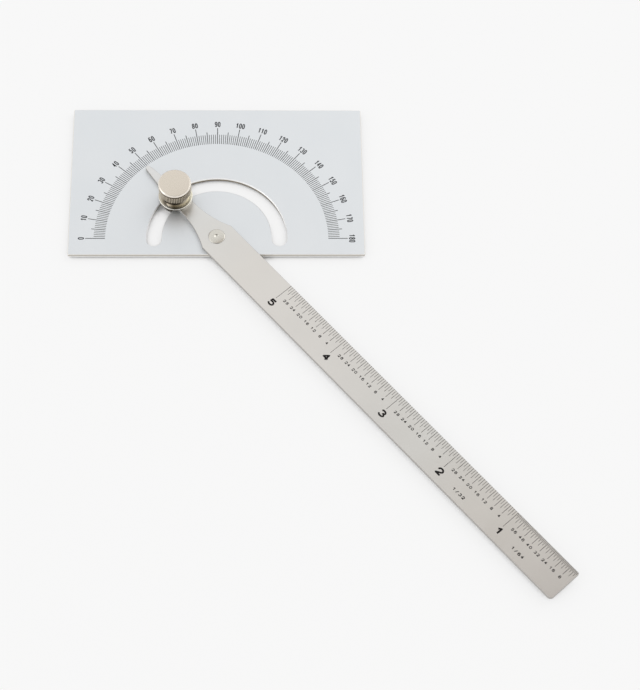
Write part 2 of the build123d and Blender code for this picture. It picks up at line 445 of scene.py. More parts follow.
def dirt_stops(tree, value, stops, warmth=(1.0, 1.0)):
    """A colour of painted shade, painted highlight and dirt from a number between nought and one. Each stop
    is (place, brightness).
    Warmth is the share of green and blue that is left."""
    coloured = []
    for place, brightness in stops:
        green = brightness**SHADE_AND_DIRT_GREEN_POWER * warmth[0]
        blue = brightness**SHADE_AND_DIRT_BLUE_POWER * warmth[1]
        coloured.append((place, (brightness, green, blue)))
    return colour_stops(tree, value, coloured)


# Materials


def blank_material(name):
    """A new material, its tree and its shader."""
    material = bpy.data.materials.new(name)
    material.use_nodes = True
    return material, material.node_tree, material.node_tree.nodes["Principled BSDF"]


def on_walls(tree):
    """One on upright faces, nought on flat ones."""
    upward = math_node(tree, "ABSOLUTE", axis_part(tree, coordinates(tree, "Normal"), "Z"))
    return remap(tree, upward, *WALL_FACING, 1.0, 0.0, smooth=True)


def metal(name, tones, roughness, grain, turn=0.0, centre=(0, 0, 0), rings=None, walls=None, shading_and_grime=None):
    """Satin or turned metal.

    tones: two near colours that drift into each other
    roughness: (low, high)
    grain: (scale, stretch, bump distance), turned and centred as told
    rings: (spacing, bump distance) of turning marks
    walls: (colour or what makes one, roughness) of upright faces
    shading_and_grime: what makes a colour of painted shade and highlight, with grime on the nut, that
    multiplies the rest
    """
    material, tree, shader = blank_material(name)
    grain_scale, grain_stretch, grain_depth = grain
    along_grain = surface_coordinates(tree, (1 / grain_stretch, 1, 1), turn, centre)
    fine = noise(tree, along_grain, grain_scale, GRAIN_DETAIL, GRAIN_ROUGHNESS)
    cloud = noise(tree, surface_coordinates(tree, turn=turn, centre=centre), CLOUD_SCALE, GRAIN_DETAIL)
    patch = math_node(tree, "MULTIPLY_ADD", fine, cloud, GLOSS_SHIFT)
    colour = tint(tree, spread(tree, cloud, 0.0, 1.0), *tones)
    gloss = spread(tree, patch, *roughness, span=GLOSS_SPAN)
    if shading_and_grime is not None:
        colour = times(tree, colour, shading_and_grime(tree))
    if walls is not None:
        wall_colour, wall_roughness = walls
        if callable(wall_colour):
            wall_colour = wall_colour(tree)
        wall = on_walls(tree)
        colour = tint(tree, wall, colour, wall_colour)
        gloss = add_node(tree, "ShaderNodeMix", {0: wall, 2: gloss, 3: wall_roughness}).outputs[0]
    tree.links.new(colour, shader.inputs["Base Color"])
    tree.links.new(gloss, shader.inputs["Roughness"])
    normal = bump(tree, fine, GRAIN_STRENGTH, grain_depth)
    if rings is not None:
        spacing, ring_depth = rings
        wires = {
            "Vector": surface_coordinates(tree, centre=centre),
            "Scale": 2 * math.pi / (WAVE_RADIANS * spacing),
            "Distortion": RING_WOBBLE,
            "Detail": 1.0,
        }
        marks = add_node(tree, "ShaderNodeTexWave", wires, wave_type="RINGS", rings_direction="Z")
        normal = bump(tree, marks.outputs["Fac"], RING_STRENGTH, ring_depth, normal)
    tree.links.new(normal, shader.inputs["Normal"])
    shader.inputs["Metallic"].default_value = 1.0
    return material


def ink(name, dark, worn, sheen):
    """Fired-in black filling: a little uneven in tone, slightly matt and pitted."""
    material, tree, shader = blank_material(name)
    place = surface_coordinates(tree)
    tone = noise(tree, place, INK_TONE_SCALE, GRAIN_DETAIL)
    pits = noise(tree, place, INK_PIT_SCALE)
    tree.links.new(tint(tree, spread(tree, tone, 0.0, 1.0), dark, worn), shader.inputs["Base Color"])
    tree.links.new(spread(tree, tone, *INK_ROUGHNESS), shader.inputs["Roughness"])
    tree.links.new(bump(tree, pits, INK_PIT_STRENGTH, INK_PIT_DEPTH), shader.inputs["Normal"])
    shader.inputs["Specular IOR Level"].default_value = sheen
    return material


def foot_side(tree):
    """Distance to the right of the nut's axis."""
    return axis_part(tree, surface_coordinates(tree, centre=nut_axis), "X")


def foot_clean(tree):
    """Nought on the clamp's left, nearly one on its right, where a painted highlight goes."""
    starts, full = FOOT_HIGHLIGHT_MM
    return remap(tree, foot_side(tree), starts * MM, full * MM, 0.0, FOOT_HIGHLIGHT_SHARE, smooth=True)


def foot_patches(tree, patches):
    """Upright stripes of painted shade and highlight, from the clamp's left to its right."""
    part = remap(tree, foot_side(tree), -FOOT_REACH_MM * MM, FOOT_REACH_MM * MM)
    stops = [((place / FOOT_REACH_MM + 1) / 2, brightness) for place, brightness in patches]
    return dirt_stops(tree, part, stops)


def nut_stain(tree):
    """Grime and painted shade in the knurl's valleys, painted shade in the groove under the rim, under the
    band and round the foot, and painted highlights on the rim, the crests and the clamp's right side.
    """
    height = axis_part(tree, surface_coordinates(tree, centre=nut_axis), "Z")
    level = remap(tree, height, nut_bottom_mm * MM, nut_top_mm * MM)
    above_foot = remap(tree, level, band_start - ZONE_BLUR, band_start + ZONE_BLUR)
    below_rim = remap(tree, level, groove_end - ZONE_BLUR, groove_end, 1.0, 0.0)
    reach = length_of(tree, surface_coordinates(tree, (1, 1, 0), centre=nut_axis))
    crest = remap(tree, reach, core_radius_mm * MM, nut_radius_mm * MM)
    # dark valleys are grime and painted shade, bright crests a painted highlight
    valleys = dirt_stops(tree, crest, KNURL_SHADE_AND_GRIME, KNURL_WARMTH)
    knurled = tint(tree, math_node(tree, "MULTIPLY", above_foot, below_rim), WHITE, valleys)
    on_foot = math_node(tree, "SUBTRACT", 1.0, above_foot)
    # painted highlight on the right side of the clamp's foot
    highlit = math_node(tree, "MULTIPLY", on_foot, foot_clean(tree))
    zones = tint(tree, highlit, dirt_stops(tree, level, nut_height_shade), NUT_HIGHLIGHT_COLOUR)
    patches = tint(tree, on_foot, WHITE, foot_patches(tree, NUT_PATCHES_MM))
    return times(tree, times(tree, zones, knurled), patches)


def washer_walls(tree):
    """The washer's edge, with painted shade along its foot except on the right, which gets a painted
    highlight.
    """
    height = axis_part(tree, coordinates(tree, "Object"), "Z")
    level = remap(tree, height, washer_low.z, washer_high.z)
    return tint(tree, foot_clean(tree), dirt_stops(tree, level, WASHER_WALL_ZONES), WASHER_HIGHLIGHT_WALL)


def washer_stain(tree):
    """The washer's plating is painted dull and brownish as shade on the side towards the pivot, with painted
    shade and highlight in patches.
    """
    side = surface_coordinates(tree, turn=WASHER_SHADED_ANGLE, centre=nut_axis)
    starts, full = WASHER_SHADED_MM
    part = remap(tree, axis_part(tree, side, "X"), starts * MM, full * MM, smooth=True)
    shaded_side = tint(tree, part, WHITE, WASHER_SHADE_TINT)
    return times(tree, shaded_side, foot_patches(tree, WASHER_PATCHES_MM))


def plate_walls(tree):
    """A blanked wall gets painted bands of light and shade, with painted shade near its back. The slot's and
    the plate's outer ones differ.
    """
    place = coordinates(tree, "Object")
    level = remap(tree, axis_part(tree, place, "Z"), 0.0, plate_top)
    facing = axis_part(tree, coordinates(tree, "Normal"), "Y")
    forward = remap(tree, facing, *SLOT_FRONT_FACING, 1.0, 0.0)
    slot_wall = tint(tree, forward, SLOT_SIDE_TINT, dirt_stops(tree, level, SLOT_WALL_ZONES))
    reach = length_of(tree, surface_coordinates(tree, (1, 1, 0)))
    near = math_node(tree, "LESS_THAN", reach, SLOT_OUTER_RADIUS_MM * MM)
    above = math_node(tree, "GREATER_THAN", axis_part(tree, place, "Y"), SLOT_LOWEST_MM * MM)
    in_slot = math_node(tree, "MULTIPLY", near, above)
    return tint(tree, in_slot, dirt_stops(tree, level, OUTER_WALL_ZONES), slot_wall)


def blade_wear(tree):
    """The blade is painted brightest at the pointer, with painted shade along its neck and towards the rule's
    end.
    """
    first = BLADE_SHADE_MM[0][0]
    last = BLADE_SHADE_MM[-1][0]
    along = axis_part(tree, surface_coordinates(tree, turn=REST_ANGLE), "X")
    part = remap(tree, along, first * MM, last * MM)
    stops = [((place - first) / (last - first), colour) for place, colour in BLADE_SHADE_MM]
    return colour_stops(tree, part, stops)


plate_metal = metal(
    "satin_plate",
    tones=((0.745, 0.775, 0.800), (0.765, 0.790, 0.812)),
    roughness=(0.43, 0.49),
    grain=(5200.0, 1.0, 1.8e-6),
    walls=(plate_walls, 0.42),
)
blade_metal = metal(
    "brushed_blade",
    tones=((0.720, 0.722, 0.718), (0.745, 0.747, 0.743)),
    roughness=(0.31, 0.34),
    grain=(7500.0, 30.0, 0.15e-6),
    turn=REST_ANGLE,
    walls=((0.46, 0.44, 0.42), 0.5),
    shading_and_grime=blade_wear,
)
nut_metal = metal(
    "nickel_thumb_nut",
    tones=((0.672, 0.612, 0.528), (0.702, 0.642, 0.558)),
    roughness=(0.17, 0.24),
    grain=(2600.0, 1.0, 1.5e-6),
    centre=nut_axis,
    rings=(0.00022, 1.2e-6),
    shading_and_grime=nut_stain,
)
washer_metal = metal(
    "nickel_washer",
    tones=((0.680, 0.645, 0.570), (0.710, 0.675, 0.600)),
    roughness=(0.24, 0.30),
    grain=(2600.0, 1.0, 1.2e-6),
    centre=nut_axis,
    rings=(0.00030, 1.0e-6),
    walls=(washer_walls, 0.30),
    shading_and_grime=washer_stain,
)
rivet_metal = metal(
    "nickel_rivet",
    tones=((0.640, 0.620, 0.565), (0.670, 0.650, 0.595)),
    roughness=(0.20, 0.30),
    grain=(3000.0, 1.0, 1.5e-6),
    rings=(0.00026, 1.6e-6),
)
stud_metal = metal(
    "turned_stud",
    tones=((0.66, 0.65, 0.63), (0.70, 0.69, 0.67)),
    roughness=(0.24, 0.34),
    grain=(2600.0, 1.0, 1.5e-6),
    centre=nut_axis,
    rings=(0.00030, 2.5e-6),
)
scale_ink = ink("scale_ink", (0.030, 0.032, 0.036), (0.055, 0.057, 0.060), 0.25)
rule_ink = ink("rule_ink", (0.010, 0.009, 0.009), (0.022, 0.020, 0.019), 0.10)


# Pieces


def put(name, mesh, body):
    """Places a finished mesh as a piece that moves with a body."""
    piece = bpy.data.objects.new(name, mesh)
    scene.collection.objects.link(piece)
    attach(piece, body)
    return piece


def stand_for(name, mesh, body, node_name):
    """Places a piece that is shown in place of a CAD node."""
    piece = put(name, mesh, body)
    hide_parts(node_name)


def dress(node_name, material):
    """Gives a kept CAD node its finish."""
    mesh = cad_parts[node_name].data
    mesh.materials.clear()
    mesh.materials.append(material)


def open_tree(name, sockets):
    """A geometry tree with named inputs. Returns it, its input sockets by name and its output node."""
    tree = bpy.data.node_groups.new(name, "GeometryNodeTree")
    tree.interface.new_socket("Geometry", in_out="OUTPUT", socket_type="NodeSocketGeometry")
    for label, kind in sockets:
        tree.interface.new_socket(label, in_out="INPUT", socket_type=kind)
    return tree, tree.nodes.new("NodeGroupInput").outputs, tree.nodes.new("NodeGroupOutput")


def close_tree(tree, group_out, geometry, material):
    """Ends a geometry tree: its instances made real, and coloured."""
    real = add_node(tree, "GeometryNodeRealizeInstances", {"Geometry": geometry})
    wires = {"Geometry": real.outputs[0], "Material": material}
    coloured = add_node(tree, "GeometryNodeSetMaterial", wires)
    tree.links.new(coloured.outputs[0], group_out.inputs[0])


def grow(tree, values, name, body):
    """Runs a tree with the given input values and keeps its result as a plain piece."""
    grower = bpy.data.objects.new(name + "_grower", bpy.data.meshes.new(name + "_seed"))
    scene.collection.objects.link(grower)
    modifier = grower.modifiers.new("Grow", "NODES")
    modifier.node_group = tree
    for item in tree.interface.items_tree:
        if item.in_out == "INPUT":
            modifier[item.identifier] = values[item.name]
    depsgraph = bpy.context.evaluated_depsgraph_get()
    mesh = bpy.data.meshes.new_from_object(grower.evaluated_get(depsgraph), depsgraph=depsgraph)
    grower.modifiers.remove(modifier)
    bpy.data.objects.remove(grower)
    mesh.name = name
    return put(name, mesh, body)


def turn_about_z(tree, angle):
    """A rotation from an angle round Z."""
    euler = add_node(tree, "ShaderNodeCombineXYZ", {"Z": angle}).outputs[0]
    return add_node(tree, "FunctionNodeEulerToRotation", {0: euler}).outputs[0]


# Graduation lines, the ink that fills the etched grooves

LINE_SOCKETS = [
    ("Long Line", "NodeSocketFloat"),
    ("Long Line Widening", "NodeSocketFloat"),
    ("Count", "NodeSocketInt"),
    ("Step", "NodeSocketFloat"),
    ("Start", "NodeSocketFloat"),
    ("Reach", "NodeSocketFloat"),
    ("Line Width", "NodeSocketFloat"),
    ("Line Depth", "NodeSocketFloat"),
    ("Surface", "NodeSocketFloat"),
]


def line_length(tree, number, ranks, inputs):
    """The length of a line from its number: the coarsest division that the number falls on."""
    length = inputs[f"Length {ranks[-1][0]}"]
    for division, _ in reversed(ranks[:-1]):
        remainder = math_node(tree, "MODULO", number, float(division))
        on_division = math_node(tree, "LESS_THAN", remainder, 0.5)
        wires = {"Switch": on_division, "False": length, "True": inputs[f"Length {division}"]}
        length = add_node(tree, "GeometryNodeSwitch", wires, input_type="FLOAT").outputs[0]
    return length


def line_bar(tree):
    """A bar one unit long that starts at the origin, runs along X and hangs below its top face."""
    cube = add_node(tree, "GeometryNodeMeshCube", {"Size": (1, 1, 1)})
    wires = {"Geometry": cube.outputs["Mesh"], "Translation": (0.5, 0, -0.5)}
    return add_node(tree, "GeometryNodeTransform", wires).outputs[0]


def bars_on_points(tree, points, place, turn, length, inputs):
    """One bar for each point. Long lines are a little wider."""
    moved = add_node(tree, "GeometryNodeSetPosition", {"Geometry": points, "Position": place})
    is_long = math_node(tree, "GREATER_THAN", length, inputs["Long Line"])
    widening = math_node(tree, "MULTIPLY", is_long, inputs["Long Line Widening"])
    width = math_node(tree, "ADD", inputs["Line Width"], widening)
    size = add_node(tree, "ShaderNodeCombineXYZ", {"X": length, "Y": width, "Z": inputs["Line Depth"]})
    wires = {
        "Points": moved.outputs[0],
        "Instance": line_bar(tree),
        "Rotation": turn_about_z(tree, turn),
        "Scale": size.outputs[0],
    }
    return add_node(tree, "GeometryNodeInstanceOnPoints", wires).outputs[0]


def round_scale_tree():
    """Lines set round the pivot: Start and Step are angles, Reach is the radius of their inner ends."""
    lengths = [(f"Length {division}", "NodeSocketFloat") for division, _ in DEGREE_LINES_MM]
    tree, inputs, group_out = open_tree("degree_lines", LINE_SOCKETS + lengths)
    points = add_node(tree, "GeometryNodePoints", {"Count": inputs["Count"]}).outputs[0]
    number = add_node(tree, "GeometryNodeInputIndex").outputs[0]
    travel = math_node(tree, "MULTIPLY", number, inputs["Step"])
    angle = math_node(tree, "ADD", travel, inputs["Start"])
    across = math_node(tree, "MULTIPLY", math_node(tree, "COSINE", angle), inputs["Reach"])
    up = math_node(tree, "MULTIPLY", math_node(tree, "SINE", angle), inputs["Reach"])
    wires = {"X": across, "Y": up, "Z": inputs["Surface"]}
    place = add_node(tree, "ShaderNodeCombineXYZ", wires).outputs[0]
    length = line_length(tree, number, DEGREE_LINES_MM, inputs)
    close_tree(tree, group_out, bars_on_points(tree, points, place, angle, length, inputs), scale_ink)
    return tree


def straight_scale_tree():
    """Lines along the blade's edge: Start is the blade's end, Reach the edge's height over its middle line.
    Beyond Fine Parts only every second line is kept. Turn swings the whole rule round the pivot."""
    lengths = [(f"Length {division}", "NodeSocketFloat") for division, _ in RULE_LINES_MM]
    extra = [("Fine Parts", "NodeSocketFloat"), ("Turn", "NodeSocketFloat")]
    tree, inputs, group_out = open_tree("rule_lines", LINE_SOCKETS + extra + lengths)
    points = add_node(tree, "GeometryNodePoints", {"Count": inputs["Count"]}).outputs[0]
    index = add_node(tree, "GeometryNodeInputIndex").outputs[0]
    number = math_node(tree, "ADD", index, 1.0)
    odd = math_node(tree, "MODULO", number, 2.0)
    coarse = math_node(tree, "GREATER_THAN", number, inputs["Fine Parts"])
    unwanted = math_node(tree, "MULTIPLY", odd, coarse)
    # the length and place are stored before lines are taken out, because that renumbers them
    travel = math_node(tree, "MULTIPLY", number, inputs["Step"])
    along = math_node(tree, "SUBTRACT", inputs["Start"], travel)
    wires = {"X": along, "Y": inputs["Reach"], "Z": inputs["Surface"]}
    place = add_node(tree, "ShaderNodeCombineXYZ", wires).outputs[0]
    named_length = line_length(tree, number, RULE_LINES_MM, inputs)
    wires = {"Geometry": points, "Name": "line_length", "Value": named_length}
    stored = add_node(tree, "GeometryNodeStoreNamedAttribute", wires, data_type="FLOAT").outputs[0]
    wires = {"Geometry": stored, "Position": place}
    placed = add_node(tree, "GeometryNodeSetPosition", wires).outputs[0]
    wires = {"Geometry": placed, "Selection": unwanted}
    chosen = add_node(tree, "GeometryNodeDeleteGeometry", wires).outputs[0]
    wires = {"Name": "line_length"}
    length = add_node(tree, "GeometryNodeInputNamedAttribute", wires, data_type="FLOAT").outputs[0]
    here = add_node(tree, "GeometryNodeInputPosition").outputs[0]
    bars = bars_on_points(tree, chosen, here, -math.pi / 2, length, inputs)
    wires = {"Geometry": bars, "Rotation": turn_about_z(tree, inputs["Turn"])}
    swung = add_node(tree, "GeometryNodeTransform", wires).outputs[0]
    close_tree(tree, group_out, swung, rule_ink)
    return tree


def line_values(count, step, start, reach, width_mm, widening_mm, surface, ranks):
    """The inputs of a tree of lines."""
    values = {
        "Long Line": (ranks[1][1] - LONG_LINE_MARGIN_MM) * MM,
        "Long Line Widening": widening_mm * MM,
        "Count": count,
        "Step": step,
        "Start": start,
        "Reach": reach,
        "Line Width": width_mm * MM,
        "Line Depth": GROOVE_DEPTH_MM * MM,
        "Surface": surface + INK_PROUD_MM * MM,
    }
    for division, length in ranks:
        values[f"Length {division}"] = length * MM
    return values


degree_values = line_values(
    count=DEGREES + 1,
    step=-math.pi / DEGREES,
    start=math.pi,
    reach=SCALE_RADIUS_MM * MM,
    width_mm=DEGREE_LINE_WIDTH_MM,
    widening_mm=DEGREE_LONG_WIDENING_MM,
    surface=plate_top,
    ranks=DEGREE_LINES_MM,
)
grow(round_scale_tree(), degree_values, "degree_lines", "plate")
rule_values = line_values(
    count=RULE_INCHES * INCH_PARTS,
    step=INCH_MM * MM / INCH_PARTS,
    start=rule_end_mm * MM,
    reach=BLADE_HALF_WIDTH_MM * MM,
    width_mm=RULE_LINE_WIDTH_MM,
    widening_mm=RULE_LONG_WIDENING_MM,
    surface=blade_top,
    ranks=RULE_LINES_MM,
)
rule_values.update({"Fine Parts": float(INCH_PARTS), "Turn": -REST_ANGLE})
grow(straight_scale_tree(), rule_values, "rule_lines", "arm")


# Numerals, drawn as engraved strokes in a box one unit wide and one unit high


def sweep(centre_x, centre_y, radius_x, radius_y, first, last, steps=14):
    """Points on an ellipse from one angle to another, in degrees."""
    points = []
    for step in range(steps + 1):
        angle = math.radians(first + (last - first) * step / steps)
        points.append((centre_x + radius_x * math.cos(angle), centre_y + radius_y * math.sin(angle)))
    return points


six = sweep(0.5, 0.68, 0.5, 0.32, 30, 180, 8) + sweep(0.5, 0.31, 0.5, 0.31, 180, 540, 20)
STROKES = {
    "0": [sweep(0.5, 0.66, 0.5, 0.34, 0, 180) + sweep(0.5, 0.34, 0.5, 0.34, 180, 360) + [(1.0, 0.66)]],
    "1": [[(0.08, 0.68), (0.60, 1.0), (0.54, 0.0)]],
    "2": [sweep(0.5, 0.68, 0.46, 0.32, 190, -35) + [(0.0, 0.0), (1.0, 0.0)]],
    "3": [sweep(0.48, 0.75, 0.44, 0.25, 155, -80, 12) + sweep(0.48, 0.27, 0.50, 0.27, 80, -172, 12)],
    "4": [[(1.0, 0.32), (0.0, 0.32), (0.68, 1.0), (0.66, 0.0)]],
    "5": [[(0.98, 1.0), (0.18, 1.0), (0.12, 0.55)] + sweep(0.47, 0.33, 0.49, 0.33, 140, -165)],
    "6": [six],
    "7": [[(0.0, 1.0), (1.0, 1.0), (0.36, 0.0)]],
    "8": [sweep(0.5, 0.76, 0.43, 0.24, -90, 270, 18), sweep(0.5, 0.26, 0.5, 0.26, 90, 450, 18)],
    "9": [[(1 - x, 1 - y) for x, y in six]],
    "/": [[(0.12, -0.08), (0.88, 1.08)]],
}


def firm_corners(stroke, margin=0.03, sharp=0.6):
    """Adds points close to each sharp corner, so that the stroke keeps its width right up to it."""
    points = [Vector(spot) for spot in stroke]
    firm = [points[0]]
    for before, here, after in zip(points, points[1:], points[2:]):
        arriving = (here - before).normalized()
        leaving = (after - here).normalized()
        if arriving.angle(leaving) > sharp:
            firm += [here - arriving * margin, here, here + leaving * margin]
        else:
            firm.append(here)
    return firm + [points[-1]]


def write(curve, words, width, height, pitch, place):
    """Adds the strokes of some words to a curve, centred on the origin of place."""
    start = -(pitch * (len(words) - 1) + width) / 2
    for position, letter in enumerate(words):
        for stroke in STROKES[letter]:
            stroke = firm_corners(stroke)
            line = curve.splines.new("POLY")
            line.points.add(len(stroke) - 1)
            for point, (x, y) in zip(line.points, stroke):
                spot = place @ Vector((start + position * pitch + x * width, (y - 0.5) * height, 0.0))
                point.co = (*spot, 1.0)


def numeral_mesh(name, stroke_width, jobs):
    """Strokes of one width as round bars. Each job is (words, width, height, pitch, place) in millimetres."""
    curve = bpy.data.curves.new(name, "CURVE")
    curve.dimensions = "3D"
    curve.bevel_depth = stroke_width / 2
    curve.bevel_resolution = 2
    curve.use_fill_caps = True
    for words, width, height, pitch, place in jobs:
        write(curve, words, width - stroke_width, height - stroke_width, pitch, place)
    drawn = bpy.data.objects.new(name, curve)
    scene.collection.objects.link(drawn)
    mesh = bpy.data.meshes.new_from_object(drawn.evaluated_get(bpy.context.evaluated_depsgraph_get()))
    bpy.data.objects.remove(drawn)
    return mesh


def numerals(name, groups, material, turn, surface, body):
    """One piece from several stroke widths, pressed flat into the surface."""
    to_metres = Matrix.Diagonal((MM, MM, MM, 1.0))
    lift = Matrix.Translation((0.0, 0.0, surface))
    joined = bmesh.new()
    for stroke_width, jobs in groups:
        mesh = numeral_mesh(name, stroke_width, jobs)
        flatten = Matrix.Diagonal((1.0, 1.0, 2 * NUMERAL_PROUD_MM / stroke_width, 1.0))
        mesh.transform(lift @ to_metres @ flatten @ turn)
        joined.from_mesh(mesh)
    made = bpy.data.meshes.new(name)
    joined.to_mesh(made)
    joined.free()
    made.materials.append(material)
    put(name, made, body)


def turned_place(x, y, angle):
    """Where some words stand and how they are turned."""
    return Matrix.Translation((x, y, 0.0)) @ Matrix.Rotation(angle, 4, "Z")


degree_jobs = []
for reading in range(0, DEGREES + 1, DEGREES_PER_NUMERAL):
    angle = math.pi - math.radians(reading)
    across = DEGREE_NUMERAL_RADIUS_MM * math.cos(angle)
    up = DEGREE_NUMERAL_RADIUS_MM * math.sin(angle)
    degree_jobs.append(
        (
            str(reading),
            DEGREE_NUMERAL_WIDTH_MM,
            DEGREE_NUMERAL_HEIGHT_MM,
            DEGREE_NUMERAL_PITCH_MM,
            turned_place(across, up, angle - math.pi / 2),
        )
    )
numerals(
    "degree_numerals",
    [(DEGREE_NUMERAL_STROKE_MM, degree_jobs)],
    scale_ink,
    Matrix.Identity(4),
    plate_top,
    "plate",
)

inch_jobs = []
part_jobs = []
for inch in range(1, RULE_INCHES + 1):
    inch_line = rule_end_mm - inch * INCH_MM
    inch_jobs.append(
        (
            str(inch),
            INCH_NUMERAL_WIDTH_MM,
            INCH_NUMERAL_HEIGHT_MM,
            INCH_NUMERAL_WIDTH_MM,
            turned_place(inch_line + INCH_NUMERAL_SHIFT_MM, INCH_NUMERAL_OFFSET_MM, 0.0),
        )
    )
    parts_per_eighth = FIRST_INCH_PARTS_PER_EIGHTH if inch == 1 else OTHER_INCH_PARTS_PER_EIGHTH
    for eighth in range(1, EIGHTHS):
        part_jobs.append(
            (
                str((EIGHTHS - eighth) * parts_per_eighth),
                PART_NUMERAL_WIDTH_MM,
                PART_NUMERAL_HEIGHT_MM,
                PART_NUMERAL_PITCH_MM,
                turned_place(inch_line + eighth * INCH_MM / EIGHTHS, PART_NUMERAL_OFFSET_MM, 0.0),
            )
        )
unit_jobs = []
for words, along in UNIT_LABELS:
    unit_jobs.append(
        (
            words,
            UNIT_LABEL_WIDTH_MM,
            UNIT_LABEL_HEIGHT_MM,
            UNIT_LABEL_PITCH_MM,
            turned_place(along, UNIT_LABEL_OFFSET_MM, 0.0),
        )
    )
numerals(
    "rule_numerals",
    [
        (INCH_NUMERAL_STROKE_MM, inch_jobs),
        (PART_NUMERAL_STROKE_MM, part_jobs),
        (UNIT_LABEL_STROKE_MM, unit_jobs),
    ],
    rule_ink,
    blade_turn,
    blade_top,
    "arm",
)


# Lathe-turned hardware. Each corner of a profile is (radius, height, rounding), in millimetres


def soften(corners, steps=5):
    """Rounds the corners of a profile."""
    points = []
    for number, (radius, height, rounding) in enumerate(corners):
        here = Vector((radius, height))
        if rounding == 0 or number in (0, len(corners) - 1):
            points.append(here)
            continue
        before = here + (Vector(corners[number - 1][:2]) - here).normalized() * rounding
        after = here + (Vector(corners[number + 1][:2]) - here).normalized() * rounding
        for step in range(steps + 1):
            part = step / steps
            points.append(before * (1 - part) ** 2 + here * 2 * part * (1 - part) + after * part**2)
    return points


def turned_ring(work, centre, point):
    """The vertices of one ring, or the single one of a pole."""
    height = point.y * MM
    if point.x < ON_AXIS_MM:
        return [work.verts.new((centre.x, centre.y, height))]
    ring = []
    for segment in range(LATHE_SEGMENTS):
        angle = 2 * math.pi * segment / LATHE_SEGMENTS
        across = point.x * math.cos(angle) * MM
        up = point.x * math.sin(angle) * MM
        ring.append(work.verts.new((centre.x + across, centre.y + up, height)))
    return ring


def turned(name, corners, centre, material):
    """Mesh turned round a vertical axis. The profile starts and ends on the axis, or closes on itself."""
    work = bmesh.new()
    rings = [turned_ring(work, centre, point) for point in soften(corners)]
    for upper, lower in zip(rings, rings[1:]):
        for segment in range(LATHE_SEGMENTS):
            after = (segment + 1) % LATHE_SEGMENTS
            if len(upper) == 1:
                work.faces.new((upper[0], lower[segment], lower[after]))
            elif len(lower) == 1:
                work.faces.new((upper[segment], lower[0], upper[after]))
            else:
                work.faces.new((upper[segment], lower[segment], lower[after], upper[after]))
    bmesh.ops.remove_doubles(work, verts=work.verts, dist=SAME_SPOT)
    bmesh.ops.recalc_face_normals(work, faces=work.faces)
    # the recalculation can settle on the inside where a profile has a deep groove
    if work.calc_volume(signed=True) < 0:
        bmesh.ops.reverse_faces(work, faces=work.faces)
    mesh = bpy.data.meshes.new(name)
    work.to_mesh(mesh)
    work.free()
    mesh.materials.append(material)
    mesh.shade_smooth()
    mesh.set_sharp_from_angle(angle=SHARP_EDGE)
    return mesh


def washer_profile():
    """A flat ring whose face falls away towards its rim."""
    outer = (washer_high.x - washer_low.x) / 2 / MM
    top = washer_high.z / MM
    bottom = washer_low.z / MM
    hole_in, hole_down = WASHER_HOLE_BREAK_MM
    rim_in, rim_down = WASHER_RIM_MM
    seam = (WASHER_HOLE_RADIUS_MM, top - hole_down, 0)
    return [
        seam,
        (WASHER_HOLE_RADIUS_MM + hole_in, top, 0.04),
        (WASHER_FLAT_RADIUS_MM, top, 0.1),
        (outer - rim_in, top - WASHER_FALL_MM, 0.12),
        (outer, top - WASHER_FALL_MM - rim_down, 0.06),
        (outer, bottom + WASHER_FOOT_BREAK_MM, 0.1),
        (outer - WASHER_FOOT_BREAK_MM, bottom, 0.1),
        (WASHER_HOLE_RADIUS_MM + hole_in, bottom, 0.04),
        (WASHER_HOLE_RADIUS_MM, bottom + hole_down, 0),
        seam,
    ]


def nut_profile():
    """A rim, a groove, the knurled band's core, a neck, the collar and the blind bore."""
    rim_bottom = nut_top_mm - NUT_RIM_MM
    groove = core_radius_mm - NUT_GROOVE_SINK_MM
    band = core_radius_mm - NUT_BAND_SINK_MM
    neck = NUT_COLLAR_RADIUS_MM - NUT_NECK_SINK_MM
    seat = nut_bottom_mm + NUT_SEAT_GAP_MM
    bore_top = nut_bottom_mm + NUT_BORE_DEPTH_MM
    return [
        (0.0, nut_top_mm, 0),
        (nut_radius_mm - NUT_RIM_BEVEL_MM, nut_top_mm, 0.05),
        (nut_radius_mm, nut_top_mm - NUT_RIM_BEVEL_DROP_MM, 0.04),
        (nut_radius_mm, rim_bottom, 0.02),
        (groove, rim_bottom - NUT_GROOVE_LIP_MM, 0.04),
        (groove, band_top_mm - NUT_GROOVE_FLOOR_END_MM, 0.04),
        (band, band_top_mm - NUT_BAND_FULL_MM, 0.04),
        (band, band_bottom_mm + NUT_BAND_BREAK_MM, 0.05),
        (core_radius_mm - NUT_BAND_BREAK_MM, band_bottom_mm, 0.05),
        (neck, band_bottom_mm - NUT_NECK_START_MM, 0.05),
        (neck, band_bottom_mm - NUT_NECK_END_MM, 0.08),
        (NUT_COLLAR_RADIUS_MM, band_bottom_mm - NUT_COLLAR_START_MM, 0.08),
        (NUT_COLLAR_RADIUS_MM, nut_bottom_mm + NUT_FOOT_BREAK_MM, 0.12),
        (NUT_COLLAR_RADIUS_MM - NUT_FOOT_BREAK_MM, seat, 0.1),
        (NUT_BORE_RADIUS_MM, seat, 0.05),
        (NUT_BORE_RADIUS_MM, bore_top, 0.05),
        (0.0, bore_top, 0),
    ]


